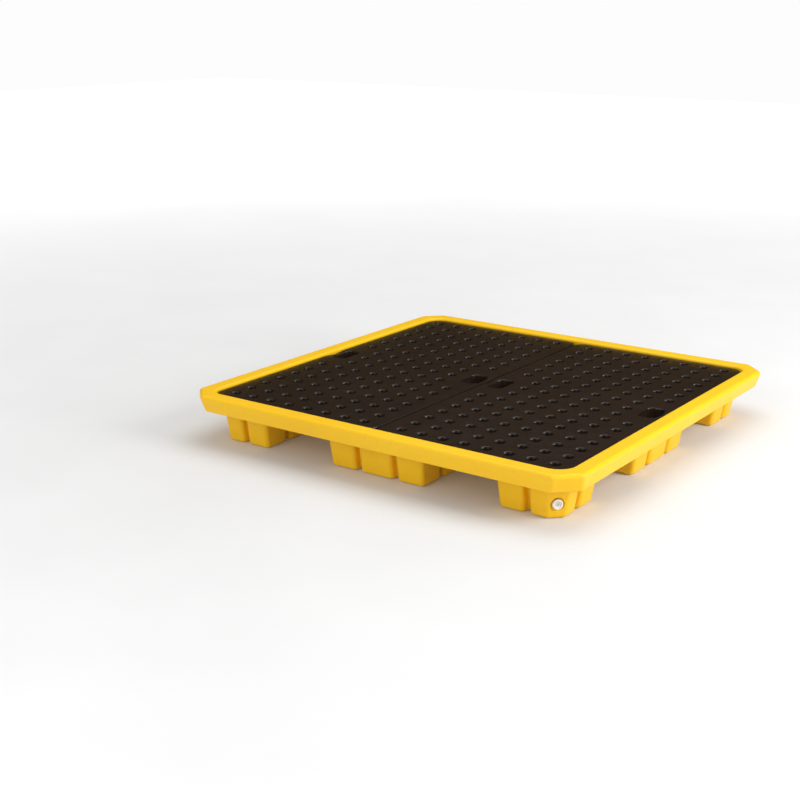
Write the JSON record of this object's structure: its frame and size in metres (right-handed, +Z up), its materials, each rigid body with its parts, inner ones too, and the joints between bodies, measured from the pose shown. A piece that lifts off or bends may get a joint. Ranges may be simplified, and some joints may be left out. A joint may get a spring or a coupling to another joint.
{
  "type": "spill containment pallet",
  "caption": "Low-profile drum spill pallet: a moulded sump on hollow feet with fork entry on every side, lift-out deck gratings and a screw drain plug.",
  "frame": {"origin": "centre of the footprint, on the floor under the feet", "axes": "+X to the right along the front edge, +Y to the back, +Z up; the drain plug is on the front right corner foot"},
  "size_m": [1.3006, 1.3006, 0.15],
  "materials": {
    "sump_yellow": "satin moulded polyethylene, warm yellow",
    "deck_black": "satin moulded polyethylene, black",
    "plug_white": "satin nylon, white",
    "seal_rubber": "matt rubber",
    "bushing_brass": "turned brass"
  },
  "bodies": {
    "sump": {"sump_tray": "sump_yellow", "drain_bushing": "bushing_brass", "foot_front_left": "sump_yellow", "foot_front_middle": "sump_yellow", "foot_front_right": "sump_yellow", "foot_middle_left": "sump_yellow", "foot_middle_middle": "sump_yellow", "foot_middle_right": "sump_yellow", "foot_back_left": "sump_yellow", "foot_back_middle": "sump_yellow", "foot_back_right": "sump_yellow"},
    "left_grating": {"left_grating": "deck_black"},
    "right_grating": {"right_grating": "deck_black"},
    "plug_seal": {"plug_seal": "seal_rubber"},
    "drain_plug": {"drain_plug": "plug_white"}
  },
  "joints": [
    {"name": "left_grating_lift", "type": "slide", "parent": "sump", "child": "left_grating", "axis": [0, 0, 1], "range_m": [0, 0.25]},
    {"name": "right_grating_lift", "type": "slide", "parent": "sump", "child": "right_grating", "axis": [0, 0, 1], "range_m": [0, 0.25]},
    {"name": "plug_travel", "type": "slide", "parent": "sump", "child": "plug_seal", "axis": [0.7071, -0.7071, 0], "range_m": [0, 0.01633]},
    {"name": "plug_turn", "type": "hinge", "parent": "plug_seal", "child": "drain_plug", "pos_m": [0.5604, -0.5604, 0.042], "axis": [0.7071, -0.7071, 0], "range_deg": [0, 3240]}
  ],
  "couplings": [
    {"joint": "plug_travel", "follows": "plug_turn", "m_per_rad": 0.00028871}
  ]
}
